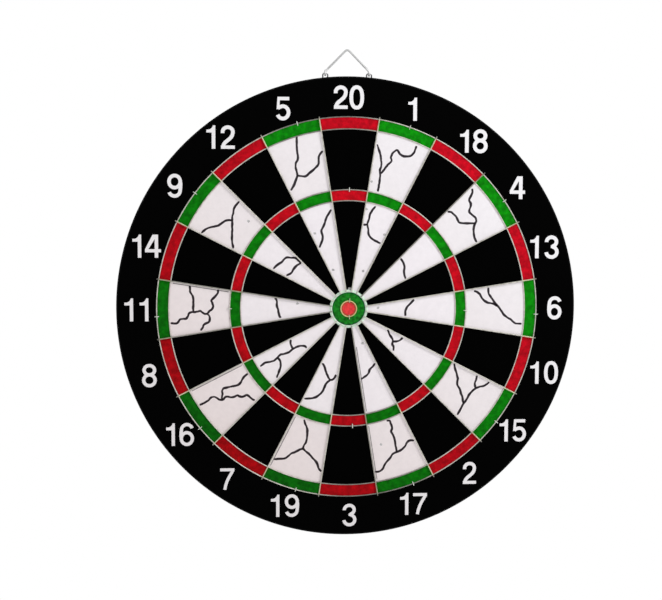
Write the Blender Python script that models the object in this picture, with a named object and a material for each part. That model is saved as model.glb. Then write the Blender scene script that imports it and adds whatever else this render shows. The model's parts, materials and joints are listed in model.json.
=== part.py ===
"""Magnetic dartboard: a round board with a printed face, a welded wire spider and a wire hanger.

The board stands upright in the XZ plane with its face towards -Y. Its back lies on y = 0, and
the origin is the centre of the back. Every piece is one closed body in an object of its own.
The only piece that moves is the hanger, which swings about X on the crowns of its two eyes.
Lengths are in metres.
"""
import math

import bmesh
import bpy
from mathutils import Vector

MM = 0.001
GAP = 0.3 * MM                        # clearance between pieces that touch

# The scoring layout: radii of the wires' centre lines
DOUBLE_OUTER_RADIUS = 170.1 * MM
DOUBLE_INNER_RADIUS = 159.5 * MM
TREBLE_OUTER_RADIUS = 106.0 * MM
TREBLE_INNER_RADIUS = 96.3 * MM
BULL_OUTER_RADIUS = 15.7 * MM
BULL_INNER_RADIUS = 7.0 * MM
SPOKE_INNER_RADIUS = 15.0 * MM
SPOKE_OUTER_RADIUS = 172.2 * MM
SECTORS = 20

# The board's layers
BOARD_RADIUS = 205.5 * MM
BACK_THICKNESS = 0.8 * MM
CORE_THICKNESS = 12.7 * MM
STEEL_THICKNESS = 0.5 * MM
FACE_THICKNESS = 1.0 * MM
BAND_THICKNESS = 1.0 * MM
BAND_ROUNDING = 0.35 * MM
STEEL_MARGIN = 2.0 * MM               # how far the steel stops short of the core's edge

# Wires
RING_WIRE = 1.0 * MM                  # diameters
SPOKE_WIRE = 1.1 * MM
STAPLE_WIRE = 0.8 * MM
HANGER_WIRE = 1.8 * MM
EYE_WIRE = 1.2 * MM
STAPLE_SPAN = 3.4 * MM                # between a staple's legs, centre to centre
STAPLE_LENGTH = 9.0 * MM              # of a leg below the face
STAPLE_CORNER = 0.7 * MM
BULL_STAPLE_SHIFT = 0.5 * MM          # of a bull staple's middle, out from its ring wire

# The hanger and its eyes
HANGER_X = -1.4 * MM                  # the hanger sits a little left of the middle
EYE_X = 19.5 * MM                     # of an eye, to either side of the hanger's middle
EYE_SPAN = 4.4 * MM
EYE_DEPTH = 11.0 * MM                 # of a leg inside the board's edge
PIVOT_HEIGHT = 209.2 * MM             # the eyes' crowns, which the hanger turns on
APEX_HEIGHT = 230.2 * MM              # where the two legs would meet; the bend is a little lower
HOOK_RADIUS = 1.9 * MM                # of the hook at each end of the hanger
HOOK_ANGLE = math.radians(290)
APEX_BEND = 2.6 * MM
NECK_RISE = 1.2 * MM                  # of the bend between hook and leg, above the crown
NECK_BEND = 1.5 * MM

# Staples over the rings, as clockwise angles from the top
DOUBLE_STAPLES = (18.5, 55.3, 91.8, 127.5, 159.6, 196.2, 231.3, 267.8, 307.0, 344.3)
TREBLE_STAPLES = (0.1, 91.0, 178.0, 270.2)
BULL_STAPLES = (6.0, 176.0)

# Facets
DISC_SEGMENTS = 96
RING_SEGMENTS = 64
BULL_SEGMENTS = 24
WIRE_SIDES = 6
BEND_STEPS = 4

# Depths, from the back forward; the face looks along -Y
CORE_BACK = -(BACK_THICKNESS + GAP)
CORE_FRONT = CORE_BACK - CORE_THICKNESS
STEEL_BACK = CORE_FRONT - GAP
STEEL_FRONT = STEEL_BACK - STEEL_THICKNESS
FACE_BACK = STEEL_FRONT - GAP
FACE_FRONT = FACE_BACK - FACE_THICKNESS
RING_Y = FACE_FRONT - GAP - RING_WIRE / 2
SPOKE_Y = RING_Y - RING_WIRE / 2 - GAP - SPOKE_WIRE / 2
STAPLE_Y = RING_Y - RING_WIRE / 2 - GAP - STAPLE_WIRE / 2
EYE_Y = (CORE_BACK + CORE_FRONT) / 2
INNER_RADIUS = BOARD_RADIUS - BAND_THICKNESS - GAP
EYE_PLACES = (HANGER_X - EYE_X, HANGER_X + EYE_X)


# ---------------------------------------------------------------- materials and objects

def clear_scene():
    for obj in list(bpy.data.objects):
        bpy.data.objects.remove(obj, do_unlink=True)


def linear(channel):
    """One channel of an sRGB colour, from 0 to 255, as the linear value that a shader takes."""
    value = channel / 255
    if value <= 0.04045:
        return value / 12.92
    return ((value + 0.055) / 1.055) ** 2.4


def make_material(name, colour, roughness, metallic=0.0):
    material = bpy.data.materials.new(name)
    material.use_nodes = True
    shader = material.node_tree.nodes["Principled BSDF"]
    red, green, blue = (linear(channel) for channel in colour)
    shader.inputs["Base Color"].default_value = (red, green, blue, 1)
    shader.inputs["Roughness"].default_value = roughness
    shader.inputs["Metallic"].default_value = metallic
    material.diffuse_color = (red, green, blue, 1)
    return material


def make_object(name, bm, material, pivot=Vector()):
    """A closed mesh as an object whose origin is the pivot, shaded smooth between sharp edges."""
    bmesh.ops.translate(bm, verts=bm.verts, vec=-pivot)
    bmesh.ops.recalc_face_normals(bm, faces=bm.faces)
    mesh = bpy.data.meshes.new(name)
    bm.to_mesh(mesh)
    bm.free()
    mesh.shade_smooth()
    mesh.set_sharp_from_angle(angle=math.radians(40))
    mesh.materials.append(material)
    obj = bpy.data.objects.new(name, mesh)
    obj.location = pivot
    bpy.context.scene.collection.objects.link(obj)
    return obj


# ---------------------------------------------------------------- shapes

def on_face(radius, angle, y):
    """A point on the board, at a clockwise angle from the top as the player sees it."""
    return Vector((radius * math.sin(angle), y, radius * math.cos(angle)))


def join_loops(bm, first, second):
    """Bridge two rings of vertices with quads."""
    count = len(first)
    for i in range(count):
        after = (i + 1) % count
        bm.faces.new((first[i], first[after], second[after], second[i]))


def turned(profile, segments):
    """Turn a closed outline of (radius, y) points about the Y axis into a ring."""
    bm = bmesh.new()
    loops = []
    for step in range(segments):
        angle = 2 * math.pi * step / segments
        loops.append([bm.verts.new(on_face(radius, angle, y)) for radius, y in profile])
    for step in range(segments):
        join_loops(bm, loops[step], loops[(step + 1) % segments])
    return bm


def disc(radius, back, front):
    """A flat round plate between two depths."""
    bm = bmesh.new()
    angles = [2 * math.pi * step / DISC_SEGMENTS for step in range(DISC_SEGMENTS)]
    rims = [[bm.verts.new(on_face(radius, angle, y)) for angle in angles] for y in (back, front)]
    join_loops(bm, rims[0], rims[1])
    for rim in rims:
        bm.faces.new(rim)
    return bm


def filleted(points, bends):
    """Round each inner corner of a path, given one bend radius for each corner."""
    path = [points[0]]
    for before, corner, after, bend in zip(points, points[1:], points[2:], bends):
        arrive = (corner - before).normalized()
        leave = (after - corner).normalized()
        turn = arrive.angle(leave)
        cut = bend * math.tan(turn / 2)
        centre_way = (leave - arrive).normalized()
        centre = corner + centre_way * bend / math.cos(turn / 2)
        start = corner - arrive * cut - centre
        for step in range(BEND_STEPS + 1):
            share = turn * step / BEND_STEPS
            path.append(centre + start * math.cos(share) + arrive * bend * math.sin(share))
    path.append(points[-1])
    return path


def swept(path, diameter, sides=WIRE_SIDES, end_scale=0.65):
    """Sweep a round section along a path, with each end drawn in a little to break its edge."""
    bm = bmesh.new()
    chamfer = diameter * (1 - end_scale) / 2
    first_way = (path[1] - path[0]).normalized()
    last_way = (path[-1] - path[-2]).normalized()
    inner = [path[0] + first_way * chamfer] + path[1:-1] + [path[-1] - last_way * chamfer]
    points = [path[0]] + inner + [path[-1]]
    radii = [diameter / 2 * end_scale] + [diameter / 2] * len(inner) + [diameter / 2 * end_scale]
    normal = first_way.orthogonal().normalized()
    rings = []
    for i, (point, radius) in enumerate(zip(points, radii)):
        before = points[max(i - 1, 0)]
        after = points[min(i + 1, len(points) - 1)]
        way = (after - before).normalized()
        normal = (normal - way * normal.dot(way)).normalized()
        across = way.cross(normal)
        turns = [2 * math.pi * side / sides for side in range(sides)]
        rings.append([
            bm.verts.new(point + radius * (normal * math.cos(turn) + across * math.sin(turn)))
            for turn in turns
        ])
    for ring, following in zip(rings, rings[1:]):
        join_loops(bm, ring, following)
    bm.faces.new(rings[0])
    bm.faces.new(rings[-1])
    return bm


def wire_circle(radius, y, segments):
    """A round wire bent into a circle about the Y axis and welded closed."""
    turns = [2 * math.pi * side / WIRE_SIDES for side in range(WIRE_SIDES)]
    outline = [
        (radius + RING_WIRE / 2 * math.cos(turn), y + RING_WIRE / 2 * math.sin(turn))
        for turn in turns
    ]
    return turned(outline, segments)


# ---------------------------------------------------------------- the board

def build_board(materials):
    back = make_object("back_sheet", disc(INNER_RADIUS, 0, -BACK_THICKNESS), materials["back"])
    core = make_object("core_board", disc(INNER_RADIUS, CORE_BACK, CORE_FRONT), materials["core"])
    steel_radius = INNER_RADIUS - STEEL_MARGIN
    steel = make_object("steel_sheet", disc(steel_radius, STEEL_BACK, STEEL_FRONT), materials["steel"])
    face = make_object("face_sheet", disc(INNER_RADIUS, FACE_BACK, FACE_FRONT), materials["face"])
    inside = BOARD_RADIUS - BAND_THICKNESS
    outline = (
        (inside, 0),
        (BOARD_RADIUS - BAND_ROUNDING, 0),
        (BOARD_RADIUS, -BAND_ROUNDING),
        (BOARD_RADIUS, FACE_FRONT + BAND_ROUNDING),
        (BOARD_RADIUS - BAND_ROUNDING, FACE_FRONT),
        (inside, FACE_FRONT),
    )
    band = make_object("edge_band", turned(outline, DISC_SEGMENTS), materials["band"])
    return {"back": back, "core": core, "steel": steel, "face": face, "band": band}


# ---------------------------------------------------------------- the spider

def build_spider(materials):
    rings = (
        ("wire_double_outer", DOUBLE_OUTER_RADIUS, RING_SEGMENTS),
        ("wire_double_inner", DOUBLE_INNER_RADIUS, RING_SEGMENTS),
        ("wire_treble_outer", TREBLE_OUTER_RADIUS, RING_SEGMENTS),
        ("wire_treble_inner", TREBLE_INNER_RADIUS, RING_SEGMENTS),
        ("wire_bull_outer", BULL_OUTER_RADIUS, BULL_SEGMENTS),
        ("wire_bull_inner", BULL_INNER_RADIUS, BULL_SEGMENTS),
    )
    for name, radius, segments in rings:
        make_object(name, wire_circle(radius, RING_Y, segments), materials["wire"])
    for number in range(SECTORS):
        angle = 2 * math.pi * (number + 0.5) / SECTORS
        path = [on_face(radius, angle, SPOKE_Y) for radius in (SPOKE_INNER_RADIUS, SPOKE_OUTER_RADIUS)]
        make_object(f"spoke_{number + 1:02d}", swept(path, SPOKE_WIRE), materials["wire"])


def staple_places():
    """Each staple's name, the radius of its middle and its clockwise angle in radians."""
    places = []
    sets = (
        ("double", DOUBLE_OUTER_RADIUS, DOUBLE_STAPLES),
        ("treble", TREBLE_OUTER_RADIUS, TREBLE_STAPLES),
        ("bull", BULL_INNER_RADIUS + BULL_STAPLE_SHIFT, BULL_STAPLES),
    )
    for name, radius, angles in sets:
        for number, angle in enumerate(angles, start=1):
            places.append((f"staple_{name}_{number:02d}", radius, math.radians(angle)))
    return places


def build_staples(materials):
    """Staples that straddle the ring wires and hold the spider to the board."""
    half = STAPLE_SPAN / 2
    leg_end = FACE_FRONT + STAPLE_LENGTH
    for name, radius, angle in staple_places():
        corners = [
            on_face(radius - half, angle, leg_end),
            on_face(radius - half, angle, STAPLE_Y),
            on_face(radius + half, angle, STAPLE_Y),
            on_face(radius + half, angle, leg_end),
        ]
        path = filleted(corners, (STAPLE_CORNER, STAPLE_CORNER))
        make_object(name, swept(path, STAPLE_WIRE), materials["staple"])


# ---------------------------------------------------------------- the hanger

def build_eyes(materials):
    """Wire eyes driven into the top edge of the board."""
    half = EYE_SPAN / 2
    low = BOARD_RADIUS - BAND_THICKNESS - EYE_DEPTH
    for name, x in zip(("hanger_eye_left", "hanger_eye_right"), EYE_PLACES):
        corners = [
            Vector((x - half, EYE_Y, low)),
            Vector((x - half, EYE_Y, PIVOT_HEIGHT)),
            Vector((x + half, EYE_Y, PIVOT_HEIGHT)),
            Vector((x + half, EYE_Y, low)),
        ]
        bend = half * 0.95
        make_object(name, swept(filleted(corners, (bend, bend)), EYE_WIRE), materials["eye"])


def hook_points(x):
    """The hook that wraps an eye's crown: from in front of it, under it, and up behind it."""
    steps = 14
    points = []
    for step in range(steps + 1):
        turn = HOOK_ANGLE * step / steps
        y = EYE_Y - HOOK_RADIUS * math.cos(turn)
        z = PIVOT_HEIGHT - HOOK_RADIUS * math.sin(turn)
        points.append(Vector((x, y, z)))
    return points


def build_hanger(materials):
    """A bent wire triangle, open at the bottom, with a hook at each end."""
    front = EYE_Y - HOOK_RADIUS
    neck = PIVOT_HEIGHT + NECK_RISE
    left, right = EYE_PLACES
    corners = [
        Vector((left, front, PIVOT_HEIGHT)),
        Vector((left, front, neck)),
        Vector((HANGER_X, front, APEX_HEIGHT)),
        Vector((right, front, neck)),
        Vector((right, front, PIVOT_HEIGHT)),
    ]
    bail = filleted(corners, (NECK_BEND, APEX_BEND, NECK_BEND))
    path = hook_points(left)[:0:-1] + bail + hook_points(right)[1:]
    pivot = Vector((HANGER_X, EYE_Y, PIVOT_HEIGHT))
    make_object("hanger_wire", swept(path, HANGER_WIRE, sides=8), materials["hanger"], pivot)


# ---------------------------------------------------------------- sockets for the wires' legs

def make_cutter(name, posts, width, sides=WIRE_SIDES):
    """A hidden helper of straight posts, each given by its two ends."""
    bm = bmesh.new()
    for start, end in posts:
        post = swept([start, end], width, sides, end_scale=1.0)
        mesh = bpy.data.meshes.new(name)
        bmesh.ops.recalc_face_normals(post, faces=post.faces)
        post.to_mesh(mesh)
        post.free()
        bm.from_mesh(mesh)
        bpy.data.meshes.remove(mesh)
    mesh = bpy.data.meshes.new(name)
    bm.to_mesh(mesh)
    bm.free()
    cutter = bpy.data.objects.new(name, mesh)
    bpy.context.scene.collection.objects.link(cutter)
    cutter.hide_render = True
    cutter.display_type = "WIRE"
    return cutter


def cut_with(obj, cutter):
    modifier = obj.modifiers.new(cutter.name, "BOOLEAN")
    modifier.operation = "DIFFERENCE"
    modifier.solver = "EXACT"
    modifier.object = cutter


def cut_sockets(board):
    """Clear a socket around every leg of the staples and the hanger's eyes."""
    socket_end = FACE_FRONT + STAPLE_LENGTH + GAP
    posts = []
    for _, radius, angle in staple_places():
        for leg in (radius - STAPLE_SPAN / 2, radius + STAPLE_SPAN / 2):
            posts.append((on_face(leg, angle, STAPLE_Y), on_face(leg, angle, socket_end)))
    staple_cutter = make_cutter("staple_sockets", posts, STAPLE_WIRE + 3 * GAP, sides=4)
    for part in ("face", "steel", "core"):
        cut_with(board[part], staple_cutter)

    low = BOARD_RADIUS - BAND_THICKNESS - EYE_DEPTH - GAP
    posts = []
    for x in EYE_PLACES:
        for leg in (x - EYE_SPAN / 2, x + EYE_SPAN / 2):
            posts.append((Vector((leg, EYE_Y, low)), Vector((leg, EYE_Y, PIVOT_HEIGHT))))
    eye_cutter = make_cutter("eye_sockets", posts, EYE_WIRE + 3 * GAP, sides=8)
    for part in ("core", "band"):
        cut_with(board[part], eye_cutter)


def main():
    clear_scene()
    materials = {
        "back": make_material("brown_hardboard", (112, 84, 58), 0.85),
        "core": make_material("fibreboard", (164, 132, 94), 0.9),
        "steel": make_material("steel_sheet", (150, 152, 155), 0.4, 1.0),
        "face": make_material("printed_face", (14, 14, 15), 0.7),
        "band": make_material("black_edge_tape", (16, 16, 17), 0.55),
        "wire": make_material("cream_wire", (240, 232, 210), 0.35, 0.3),
        "staple": make_material("steel_staple", (190, 190, 188), 0.35, 0.9),
        "hanger": make_material("hanger_steel", (205, 205, 205), 0.3, 0.9),
        "eye": make_material("eye_steel", (120, 120, 122), 0.35, 0.9),
    }
    board = build_board(materials)
    build_spider(materials)
    build_staples(materials)
    build_eyes(materials)
    build_hanger(materials)
    cut_sockets(board)


main()
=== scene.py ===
import json
import math

import bmesh
import bpy
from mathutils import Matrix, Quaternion, Vector, noise
from mathutils.geometry import delaunay_2d_cdt


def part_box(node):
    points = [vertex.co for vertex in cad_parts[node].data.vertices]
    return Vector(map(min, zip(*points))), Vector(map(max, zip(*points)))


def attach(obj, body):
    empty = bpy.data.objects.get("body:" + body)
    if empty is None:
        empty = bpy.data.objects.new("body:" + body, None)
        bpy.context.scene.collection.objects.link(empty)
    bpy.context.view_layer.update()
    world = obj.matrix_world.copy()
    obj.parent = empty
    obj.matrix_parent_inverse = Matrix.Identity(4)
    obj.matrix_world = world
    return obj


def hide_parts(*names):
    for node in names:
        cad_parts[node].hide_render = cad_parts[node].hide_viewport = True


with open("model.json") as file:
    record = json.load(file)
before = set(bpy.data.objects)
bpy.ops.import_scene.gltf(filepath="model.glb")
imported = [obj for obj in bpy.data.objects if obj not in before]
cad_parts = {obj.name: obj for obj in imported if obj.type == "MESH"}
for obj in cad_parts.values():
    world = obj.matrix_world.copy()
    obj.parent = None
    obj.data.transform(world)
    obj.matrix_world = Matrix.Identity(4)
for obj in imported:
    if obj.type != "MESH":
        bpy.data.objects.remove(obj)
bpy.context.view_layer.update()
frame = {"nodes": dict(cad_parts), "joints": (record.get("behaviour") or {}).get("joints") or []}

MM = 0.001

# ---------------- sizes

RING_WIRE = 1.0 * MM  # diameters of the wires
SPOKE_WIRE = 1.1 * MM
STAPLE_WIRE = 0.8 * MM
HANGER_WIRE = 1.8 * MM
EYE_WIRE = 1.2 * MM
HANGER_BENDS = (1.5 * MM, 2.6 * MM, 1.5 * MM)  # radii of its three bends, from left to right
HANGER_NECK_RISE = 1.2 * MM
HANGER_HOOK_ANGLE = 290
STAPLE_SPAN = 3.4 * MM
STAPLE_CORNER = 0.7 * MM
WIRE_SIDES = 12  # of a wire's round section
STAPLE_SIDES = 10
EYE_SIDES = 16
HANGER_SIDES = 14
BEND_STEPS = 10  # along a bend of an eye or the hanger
STAPLE_BEND_STEPS = 6
HOOK_STEPS = 28
EYE_ROUNDING = 0.95  # an eye's bends as a share of half its span
WELD_SWELL = 0.16  # how much thicker a spoke is at a weld, as a share
WELD_WIDTH = 0.75 * MM  # the swelling dies away over about this distance
WELD_STEP = 0.4 * MM  # between the points along a spoke beside a weld
WELD_POINTS = 4  # of them on each side of the weld
WELD_MARGIN = 0.6 * MM  # none of them are this near a spoke's ends
SPOKE_END = 0.3  # how far its ends are inside its box's diagonal, as a share of its diameter
DISC_SEGMENTS = 240
BED_STEPS = 14  # across one sector of a ring of beds
BULLSEYE_SEGMENTS = 96
BULL_RING_SEGMENTS = 120
BAND_SEGMENTS = 320
FACE_CHAMFER = 0.1 * MM
BULLSEYE_CHAMFER = 0.01 * MM
BACK_CHAMFER = 0.25 * MM
BAND_LIP = 0.45 * MM  # rounding of the edge band's two rims
BAND_LIP_STEPS = 4
BAND_CLEARANCE = 0.02 * MM  # between the face sheet and the edge band
WIRE_SHARP = 80  # in degrees, from which an edge of a wire stays sharp
BAND_SHARP = 50
PRINT_THICKNESS = 0.05 * MM  # of a printed bed in front of the black sheet
BORDER_THICKNESS = 1.3 * PRINT_THICKNESS
PALE_THICKNESS = 1.4 * PRINT_THICKNESS
NUMERAL_THICKNESS = 0.09 * MM
CRACK_THICKNESS = 0.08 * MM
CRACK_WIDTH = 2.0 * MM
CRACK_WANDER = 0.25 * MM  # how far a crack strays from its line
CRACK_WANDER_SCALE = 420  # of the noise that moves it, per metre
CRACK_SWELL = 0.35  # share by which its width varies
CRACK_SWELL_SCALE = 260
CRACK_END = 0.6  # its width at its ends, as a share of the full width
CRACK_TAPER = 0.3  # share that it gains at each point from there
CRACK_STEPS = 4  # along each span between two of its points
PAINTED_LIGHT_WAY = (0.64, 0.0, 0.77)  # painted light and shade: the inks are lightest this way, towards the upper right, and darkest the other way
SECTORS = 20
NUMERAL_RADIUS = 187.5 * MM
DIGIT_HEIGHT = 20.3  # in millimetres, as are all the digits' own sizes
DIGIT_STROKE = 3.1
PEN_SPREAD = 0.07  # the strokes are bolder by this share towards the upper right

# Clockwise from the top: a number, how far it sits above the middle of its sector's place in the
# number band, and how far each digit is to the right of it, in millimetres
NUMERALS = (
    (20, -0.4, (-7.6, 6.5)), (1, -1.0, (0.6,)), (18, -2.1, (-4.9, 7.2)), (4, -1.6, (0.0,)),
    (13, -2.5, (-8.0, 5.4)), (6, 0.3, (-0.1,)), (10, -0.9, (-6.2, 6.9)), (15, -1.5, (-7.2, 4.8)),
    (2, 1.2, (0.9,)), (17, 0.1, (-4.3, 7.8)), (3, -0.1, (1.2,)), (19, 0.2, (-5.6, 7.1)),
    (7, -1.2, (1.5,)), (16, -1.9, (-4.8, 7.2)), (8, -1.1, (1.3,)), (11, -0.5, (-4.6, 8.7)),
    (14, -2.3, (-6.2, 5.5)), (9, -1.6, (-1.8,)), (12, -0.4, (-9.2, 3.3)), (5, -1.6, (-0.6,)),
)


def ring_radius(node):
    """The radius of a ring wire's centre line."""
    low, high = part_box(node)
    return (high.x - low.x - RING_WIRE) / 2


DOUBLE_OUTER = ring_radius("wire_double_outer")
DOUBLE_INNER = ring_radius("wire_double_inner")
TREBLE_OUTER = ring_radius("wire_treble_outer")
TREBLE_INNER = ring_radius("wire_treble_inner")
BULL_OUTER = ring_radius("wire_bull_outer")
BULL_INNER = ring_radius("wire_bull_inner")
BOARD_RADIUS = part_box("edge_band")[1].x
FACE_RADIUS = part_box("face_sheet")[1].x
FACE_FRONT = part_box("face_sheet")[0].y
FACE_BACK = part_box("face_sheet")[1].y
PRINT_FRONT = FACE_FRONT - PRINT_THICKNESS
RING_Y = PRINT_FRONT - RING_WIRE / 2
SPOKE_Y = RING_Y - (RING_WIRE + SPOKE_WIRE) / 2
STAPLE_Y = RING_Y - (RING_WIRE + STAPLE_WIRE) / 2
BULLSEYE_RADIUS = 5.5 * MM  # of its bright middle
BULL_BORDER = (0.85 * MM, 1.4 * MM)  # how far the pale ring goes in and out from the outer bull wire
BULL_SHADE = 1.0 * MM  # width of the painted shade, a darker green just inside the pale ring and its wire
BORDER_START = 1.2 * MM  # from a spoke's centre line to its painted shadow line
BORDER_WIDTH = 0.85 * MM
SHADED_SPOKES = (3, 10, 15, 16)  # spokes given a darker copy of the wire colour, as painted shade
RING_SHADE_WAY = (-0.156, 0.0, 0.988)  # painted shade: the ring wires are darkest at both ends of this line, where they run across the light
RING_SHADE_SHARES = (0.93, 0.985)  # of a ring's radius, where the painted shade starts and is full
CROWN_HEIGHTS = (208.0 * MM, 209.0 * MM)  # painted highlight: between them the eyes turn pale towards their crowns
BAIL_HEIGHTS = (210.5 * MM, 214 * MM)  # painted highlight: the hanger is pale below these heights, round its hooks, and between them turns darker towards the top
# Each painted shadow line beside a spoke wire: its spoke, and the radii that it runs between
PAINTED_WIRE_SHADOWS = tuple(
    (spoke, TREBLE_OUTER + 2 * MM, DOUBLE_INNER - 2 * MM) for spoke in (10, 12, 14, 16)
) + ((10, 35 * MM, TREBLE_INNER - 2 * MM),)
HINGE = Vector(frame["joints"][0]["pos_m"])


# ---------------- shapes

def on_face(radius, angle, y):
    """A point on the board, at a clockwise angle from the top as the player sees it."""
    return Vector((radius * math.sin(angle), y, radius * math.cos(angle)))


def join_loops(bm, first, second):
    """Close the strip between two loops with the same number of points."""
    count = len(first)
    for i in range(count):
        after = (i + 1) % count
        bm.faces.new((first[i], first[after], second[after], second[i]))


def skin(bm, loops):
    """Join each loop to the next one, and close the first and the last."""
    for loop, following in zip(loops, loops[1:]):
        join_loops(bm, loop, following)
    bm.faces.new(loops[0])
    bm.faces.new(loops[-1])


def full_turn(count):
    """Angles evenly round a circle."""
    return [2 * math.pi * step / count for step in range(count)]


def make_piece(name, bm, look, body="board", nodes=(), sharp=40):
    """A mesh as a piece that rides on a body and stands for some CAD nodes."""
    bmesh.ops.recalc_face_normals(bm, faces=bm.faces)
    mesh = bpy.data.meshes.new(name)
    bm.to_mesh(mesh)
    bm.free()
    mesh.shade_smooth()
    mesh.set_sharp_from_angle(angle=math.radians(sharp))
    mesh.materials.append(MATERIALS[look])
    obj = bpy.data.objects.new(name, mesh)
    bpy.context.scene.collection.objects.link(obj)
    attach(obj, body)
    if nodes:
        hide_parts(*nodes)


def make_wire(node, bm, look, body="board"):
    """A drawn wire in the place of its CAD node."""
    make_piece(f"{node}_drawn", bm, look, body, (node,), WIRE_SHARP)


def turned(profile, segments):
    """Turn a closed outline of (radius, y) points about the Y axis."""
    bm = bmesh.new()
    angles = full_turn(segments)
    loops = [[bm.verts.new(on_face(radius, angle, y)) for radius, y in profile] for angle in angles]
    for loop, following in zip(loops, loops[1:] + loops[:1]):
        join_loops(bm, loop, following)
    return bm


def chamfered_disc(radius, back, front, chamfer, segments):
    """A round plate with both of its edges broken."""
    bm = bmesh.new()
    inside = radius - chamfer
    outline = ((inside, back), (radius, back - chamfer), (radius, front + chamfer), (inside, front))
    angles = full_turn(segments)
    skin(bm, [[bm.verts.new(on_face(r, angle, y)) for angle in angles] for r, y in outline])
    return bm


def add_sector(bm, inner, outer, start, end, back, front, steps):
    """Add a slab of a ring between two angles."""
    slabs = []
    for y in (back, front):
        arcs = []
        for radius in (inner, outer):
            turns = [start + (end - start) * step / steps for step in range(steps + 1)]
            arcs.append([bm.verts.new(on_face(radius, turn, y)) for turn in turns])
        slabs.append(arcs)
    for inside, outside in slabs:
        for step in range(steps):
            bm.faces.new((inside[step], inside[step + 1], outside[step + 1], outside[step]))
    loops = [arcs[0] + arcs[1][::-1] for arcs in slabs]
    join_loops(bm, loops[0], loops[1])


def filleted(points, bends, steps):
    """Round each inner corner of a path, given one bend radius for each corner."""
    path = [points[0]]
    for before, corner, after, bend in zip(points, points[1:], points[2:], bends):
        arrive = (corner - before).normalized()
        leave = (after - corner).normalized()
        turn = arrive.angle(leave)
        cut = bend * math.tan(turn / 2)
        centre = corner + (leave - arrive).normalized() * bend / math.cos(turn / 2)
        start = corner - arrive * cut - centre
        for step in range(steps + 1):
            share = turn * step / steps
            path.append(centre + start * math.cos(share) + arrive * bend * math.sin(share))
    path.append(points[-1])
    return path


def swept(path, radii, sides):
    """Sweep a round section, with a radius for each point, along a path."""
    bm = bmesh.new()
    normal = (path[1] - path[0]).normalized().orthogonal().normalized()
    rings = []
    for i, (point, radius) in enumerate(zip(path, radii)):
        way = (path[min(i + 1, len(path) - 1)] - path[max(i - 1, 0)]).normalized()
        normal = (normal - way * normal.dot(way)).normalized()
        across = way.cross(normal)
        rings.append([
            bm.verts.new(point + radius * (normal * math.cos(turn) + across * math.sin(turn)))
            for turn in full_turn(sides)
        ])
    skin(bm, rings)
    return bm


# A wire's rounded end: how far along and how thick it is, as shares of the wire's radius
DOME = ((0.0, 0.35), (0.12, 0.68), (0.4, 0.92), (0.85, 1.0))


def domed(path, diameter):
    """A path and its radii with each end drawn in to a small dome."""
    radius = diameter / 2
    first = (path[1] - path[0]).normalized() * radius
    last = (path[-1] - path[-2]).normalized() * radius
    stations = [(path[0] + first * along, radius * share) for along, share in DOME]
    stations += [(point, radius) for point in path[1:-1]]
    stations += [(path[-1] - last * along, radius * share) for along, share in reversed(DOME)]
    return [point for point, _ in stations], [size for _, size in stations]


# ---------------- materials

GRAIN_SCALE = 1500  # noise scales are per metre
CLOUD_SCALE = 230
BULL_CLOUD_SCALE = 420
STAIN_SCALE = 260
SCRATCH_SCALE = 2600
PRINT_BUMP = 0.08 * MM  # heights of the bumps
WIRE_BUMP = 0.03 * MM
BUMP_STRENGTH = 0.6
NOISE_RANGE = (0.3, 0.7)  # roughly where a noise's values lie
FIBRE_FINENESS = 9  # how many times finer the fibres of a board are than its mottle
FIBRE_STRETCH = (1, 1, 0.35)  # they are longer up the board


def new_material(name):
    material = bpy.data.materials.new(name)
    material.use_nodes = True
    tree = material.node_tree
    return material, tree, tree.nodes["Principled BSDF"]


def wired(tree, kind, output, inputs, **settings):
    """An output of a new node, whose inputs are each set to a value or joined to an output."""
    node = tree.nodes.new(f"ShaderNode{kind}")
    for name, value in settings.items():
        setattr(node, name, value)
    for socket, value in inputs.items():
        if isinstance(value, bpy.types.NodeSocket):
            tree.links.new(value, node.inputs[socket])
        else:
            node.inputs[socket].default_value = value
    return node.outputs[output]


def own_place(tree):
    """A point in the piece's own coordinates, which are metres."""
    return wired(tree, "TexCoord", "Object", {})


def noise_node(tree, scale, detail, roughness=0.55, stretch=(1, 1, 1)):
    place = wired(tree, "Mapping", "Vector", {"Vector": own_place(tree), "Scale": stretch})
    inputs = {"Vector": place, "Scale": scale, "Detail": detail, "Roughness": roughness}
    return wired(tree, "TexNoise", "Fac", inputs)


def ramp(tree, source, stops):
    """A colour that follows a value, given as (value, colour) stops."""
    node = tree.nodes.new("ShaderNodeValToRGB")
    elements = node.color_ramp.elements
    while len(elements) < len(stops):
        elements.new(0.5)
    for element, (place, colour) in zip(elements, stops):
        element.position = place
        element.color = (*colour, 1)
    tree.links.new(source, node.inputs["Fac"])
    return node.outputs["Color"]


def mixed(tree, kind, factor, first, second):
    """Mix two colours; the colours and the factor are each a value or an output."""
    inputs = {"Factor": factor, "A": first, "B": second}
    return wired(tree, "Mix", "Result", inputs, data_type="RGBA", blend_type=kind)


def add_bump(tree, shader, sources, height):
    """Bump from two noises, each given with its share of the height."""
    parts = [
        wired(tree, "Math", "Value", {0: source, 1: share}, operation="MULTIPLY")
        for source, share in sources
    ]
    total = wired(tree, "Math", "Value", dict(enumerate(parts)), operation="ADD")
    bump = wired(tree, "Bump", "Normal", {"Strength": BUMP_STRENGTH, "Distance": height, "Height": total})
    tree.links.new(bump, shader.inputs["Normal"])


def roughness_from(tree, shader, source, low, high):
    """Roughness that follows a noise, between two values."""
    start, end = NOISE_RANGE
    inputs = {"Value": source, "From Min": start, "From Max": end, "To Min": low, "To Max": high}
    tree.links.new(wired(tree, "MapRange", "Result", inputs), shader.inputs["Roughness"])


def along_way(tree, way):
    """How far a point is along a direction, in metres."""
    return wired(tree, "VectorMath", "Value", {0: own_place(tree), 1: way}, operation="DOT_PRODUCT")


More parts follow.
